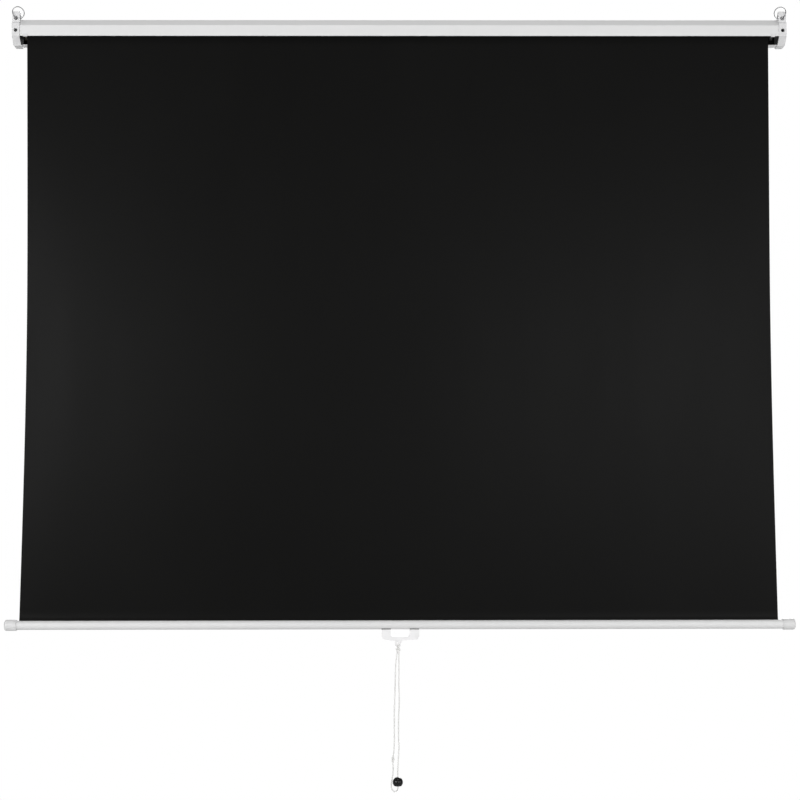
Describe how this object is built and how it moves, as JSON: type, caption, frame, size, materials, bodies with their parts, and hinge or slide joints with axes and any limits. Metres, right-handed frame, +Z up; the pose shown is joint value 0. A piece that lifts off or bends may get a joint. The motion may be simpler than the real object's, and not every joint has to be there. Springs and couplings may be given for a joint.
{
  "type": "pull-down projection screen",
  "caption": "Spring-roller projection screen with an octagonal case, black-backed fabric, weighted slat, finger handle and pull cord, locked by a ratchet.",
  "frame": {"origin": "midway between the two wall holes, on the rear plane of the end caps, at the height of the roller axis", "axes": "+X along the case, to the right in the picture; +Y away from the wall, towards the audience; +Z up"},
  "size_m": [2.087, 0.0741, 2.0907],
  "materials": {
    "case_paint": "white powder coat on sheet steel",
    "cap_plastic": "white moulded plastic, fine grain",
    "zinc_steel": "zinc-plated steel",
    "bare_steel": "bright drawn steel",
    "brass_plate": "yellow-passivated steel",
    "spring_steel": "oiled spring steel",
    "screen_cloth": "coated screen fabric: black back, matt white front with a black border",
    "plug_plastic": "natural white moulded plastic",
    "slat_paint": "white enamel on rolled steel",
    "slat_cap_plastic": "white moulded plastic, satin",
    "handle_plastic": "white moulded plastic",
    "cord_braid": "white braided polyester cord",
    "ball_plastic": "polished black plastic",
    "ring_nickel": "nickel-plated steel wire"
  },
  "bodies": {
    "housing": {"case_profile": "case_paint", "end_cap_left": "cap_plastic", "end_cap_right": "cap_plastic", "cap_screws_left": "zinc_steel", "cap_screws_right": "zinc_steel", "spear_bracket": "zinc_steel", "idle_bearing": "zinc_steel", "lock_spear": "bare_steel", "ratchet_wheel": "brass_plate", "spring_mandrel": "bare_steel", "torsion_spring": "spring_steel", "screen_fabric": "screen_cloth"},
    "roller": {"roller_tube": "zinc_steel", "fabric_roll": "screen_cloth", "spring_end_plug": "plug_plastic", "idle_end_plug": "plug_plastic", "idle_pin": "bare_steel", "spring_anchor_plug": "plug_plastic", "plug_rivets": "zinc_steel", "pawl_pins": "bare_steel"},
    "upper_pawl": {"pawl_a": "brass_plate"},
    "lower_pawl": {"pawl_b": "brass_plate"},
    "slat": {"slat_tube": "slat_paint", "slat_cap_left": "slat_cap_plastic", "slat_cap_right": "slat_cap_plastic", "hem_rod": "zinc_steel", "pull_handle": "handle_plastic", "handle_screws": "zinc_steel", "cord_hitch": "cord_braid"},
    "pull_cord": {"cord_strand_left": "cord_braid", "cord_strand_right": "cord_braid", "cord_knot": "cord_braid", "pull_ball": "ball_plastic"},
    "left_ring": {"ring_left": "ring_nickel"},
    "right_ring": {"ring_right": "ring_nickel"}
  },
  "joints": [
    {"name": "screen_pull", "type": "slide", "parent": "housing", "child": "slat", "axis": [0, 0, 1], "range_m": [0, 1.53435], "deforming": ["screen_fabric"]},
    {"name": "roller_spin", "type": "hinge", "parent": "housing", "child": "roller", "pos_m": [0, 0.037, 0], "axis": [1, 0, 0], "range_deg": [-4321, 0], "deforming": ["torsion_spring"]},
    {"name": "pawl_a_swing", "type": "hinge", "parent": "roller", "child": "upper_pawl", "pos_m": [-1.0093, 0.037, 0.0152], "axis": [-1, 0, 0], "range_deg": [0, 22]},
    {"name": "pawl_b_swing", "type": "hinge", "parent": "roller", "child": "lower_pawl", "pos_m": [-1.0093, 0.037, -0.0152], "axis": [-1, 0, 0], "range_deg": [0, 22]},
    {"name": "cord_swing", "type": "hinge", "parent": "slat", "child": "pull_cord", "pos_m": [-0.006, 0.01665, -1.65264], "axis": [1, 0, 0], "range_deg": [-60, 60]},
    {"name": "ring_left_swing", "type": "hinge", "parent": "housing", "child": "left_ring", "pos_m": [-1.03, 0.006, 0.035], "axis": [0.802, 0.463, -0.3774], "range_deg": [-8, 45]},
    {"name": "ring_right_swing", "type": "hinge", "parent": "housing", "child": "right_ring", "pos_m": [1.03, 0.006, 0.035], "axis": [0.802, -0.463, 0.3774], "range_deg": [-8, 45]}
  ],
  "couplings": [
    {"joint": "roller_spin", "follows": "screen_pull", "rad_per_m": -49.14}
  ]
}
